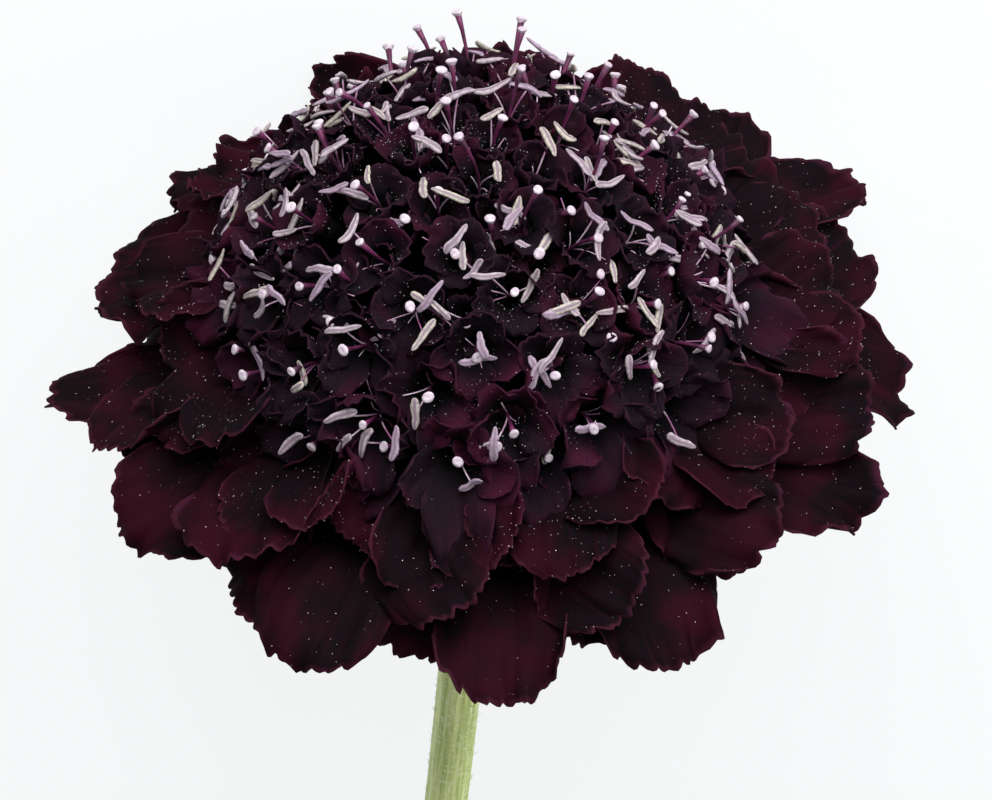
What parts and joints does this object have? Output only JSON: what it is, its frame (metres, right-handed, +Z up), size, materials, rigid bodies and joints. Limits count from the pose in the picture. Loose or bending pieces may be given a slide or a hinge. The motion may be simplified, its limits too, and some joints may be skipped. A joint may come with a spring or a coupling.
{
  "type": "scabiosa flower",
  "caption": "Cut scabiosa flower lying on a table: a domed pincushion bloom with toothed ray petals, a green involucre and a slim stem.",
  "frame": {"origin": "centre of the bounding box's bottom face, on the surface that the flower lies on", "axes": "+Z up from the surface, the dome of the bloom faces -Y, the stem runs towards +Y and leans a little towards +X"},
  "size_m": [0.0562, 0.1472, 0.0475],
  "materials": {
    "corolla": "matt velvety petals, near-black burgundy with crimson margins, and pale lilac stigmas and anthers",
    "bract_green": "matt green leaf with fine hairs",
    "stem_green": "satin pale green with fine ribs and hairs"
  },
  "bodies": {
    "root": {"bloom": "corolla", "involucre": "bract_green", "stem": "stem_green"}
  },
  "joints": []
}
